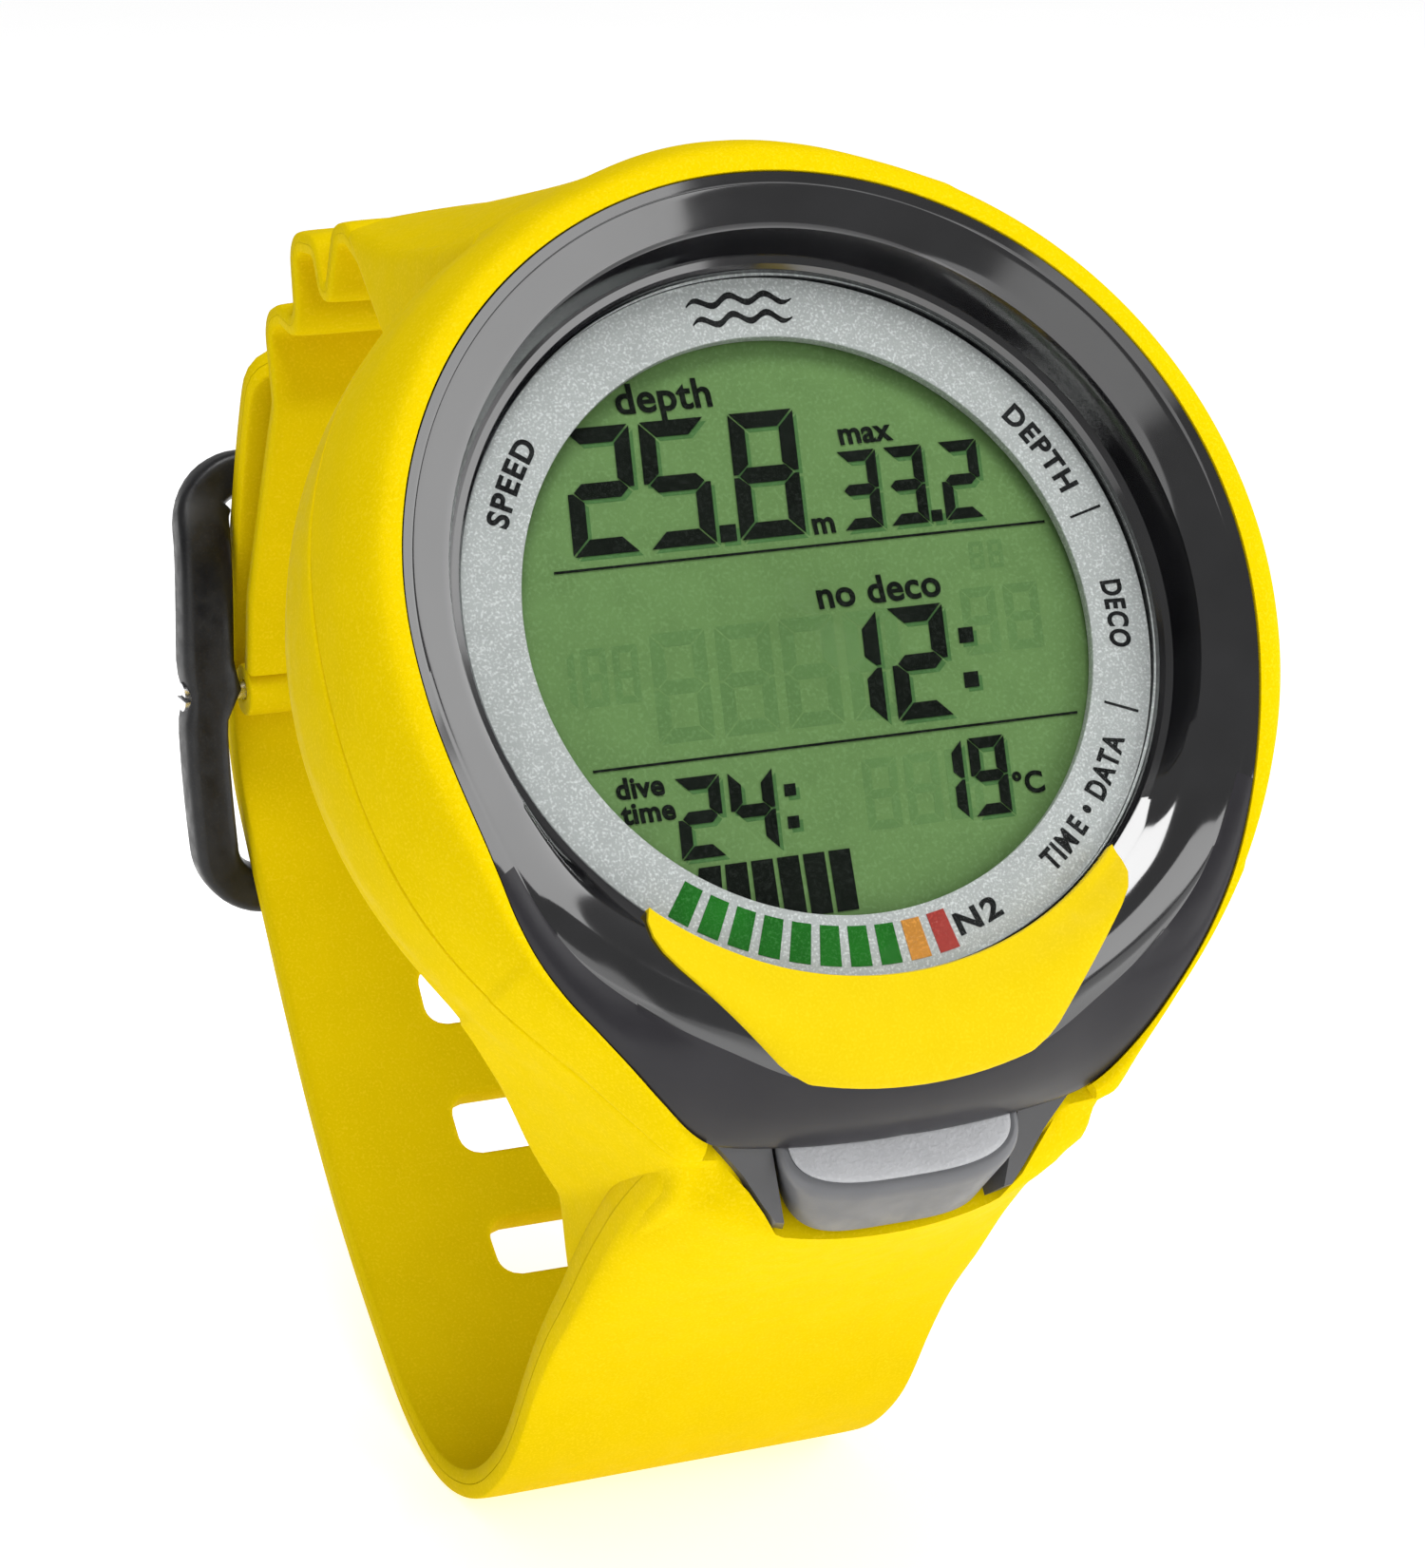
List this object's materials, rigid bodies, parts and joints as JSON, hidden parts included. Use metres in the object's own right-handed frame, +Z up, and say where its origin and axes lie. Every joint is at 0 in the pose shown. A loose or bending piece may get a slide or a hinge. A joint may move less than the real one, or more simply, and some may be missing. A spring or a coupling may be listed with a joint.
{
  "type": "dive computer",
  "caption": "Wrist dive computer with a round display, one wide push button on its chin, a protective bumper and a closed buckled strap with bellows.",
  "frame": {"origin": "middle of the bounding box at table level, under the strap loop on which the object stands", "axes": "+Z up, +X along the width of the strap towards 3 o'clock, -Y the side the dial looks to; the dial leans back 32.7 degrees from upright"},
  "size_m": [0.076, 0.1094, 0.1166],
  "materials": {
    "housing": "fine satin black moulding",
    "bezel": "polished black",
    "inlay": "satin yellow",
    "lens": "clear scratch-resistant window",
    "dial_silver": "fine metallic silver print",
    "seal": "soft matt",
    "lcd": "green-grey liquid crystal glass",
    "light_guide": "milky acrylic",
    "board": "solder-masked laminate",
    "chip": "moulded epoxy",
    "steel": "stainless",
    "brass": "plain",
    "door": "satin black",
    "button": "satin grey with a grained pad",
    "bumper": "matt yellow elastomer",
    "strap": "matt yellow elastomer",
    "buckle": "satin black glass-filled nylon"
  },
  "bodies": {
    "root": {"case_housing": "housing", "bezel": "bezel", "crescent_inlay": "inlay", "lens": "lens", "dial_ring": "dial_silver", "lens_gasket": "seal", "lcd_panel": "lcd", "light_guide": "light_guide", "zebra_strips": "seal", "circuit_board": "board", "microcontroller": "chip", "memory_chip": "chip", "crystal_can": "steel", "sounder": "brass", "pressure_sensor": "steel", "tact_switch": "chip", "battery": "steel", "battery_contacts": "brass", "case_screws": "steel", "button_spring": "steel", "bumper_ring": "bumper", "strap_cup": "strap", "strap_pins": "steel", "strap_bellows": "strap", "strap_tail": "strap", "buckle_frame": "buckle", "buckle_pin": "steel", "pin_screws": "steel"},
    "button": {"button_cap": "button", "button_stem": "steel", "button_seal": "seal"},
    "door": {"battery_door": "door", "door_gasket": "seal"},
    "prong": {"buckle_prong": "buckle"}
  },
  "joints": [
    {"name": "button_press", "type": "slide", "parent": "root", "child": "button", "axis": [0, 0.5402, 0.8415], "range_m": [0, 0.0012], "stiffness_N_per_m": 900, "springref_m": -0.0012, "deforming": ["button_spring"]},
    {"name": "door_turn", "type": "hinge", "parent": "root", "child": "door", "pos_m": [0, -0.01635, 0.06936], "axis": [0, -0.8415, 0.5402], "range_deg": [0, 60]},
    {"name": "prong_swing", "type": "hinge", "parent": "root", "child": "prong", "pos_m": [0, 0.04804, 0.05665], "axis": [1, 0, 0], "range_deg": [0, 15]}
  ]
}
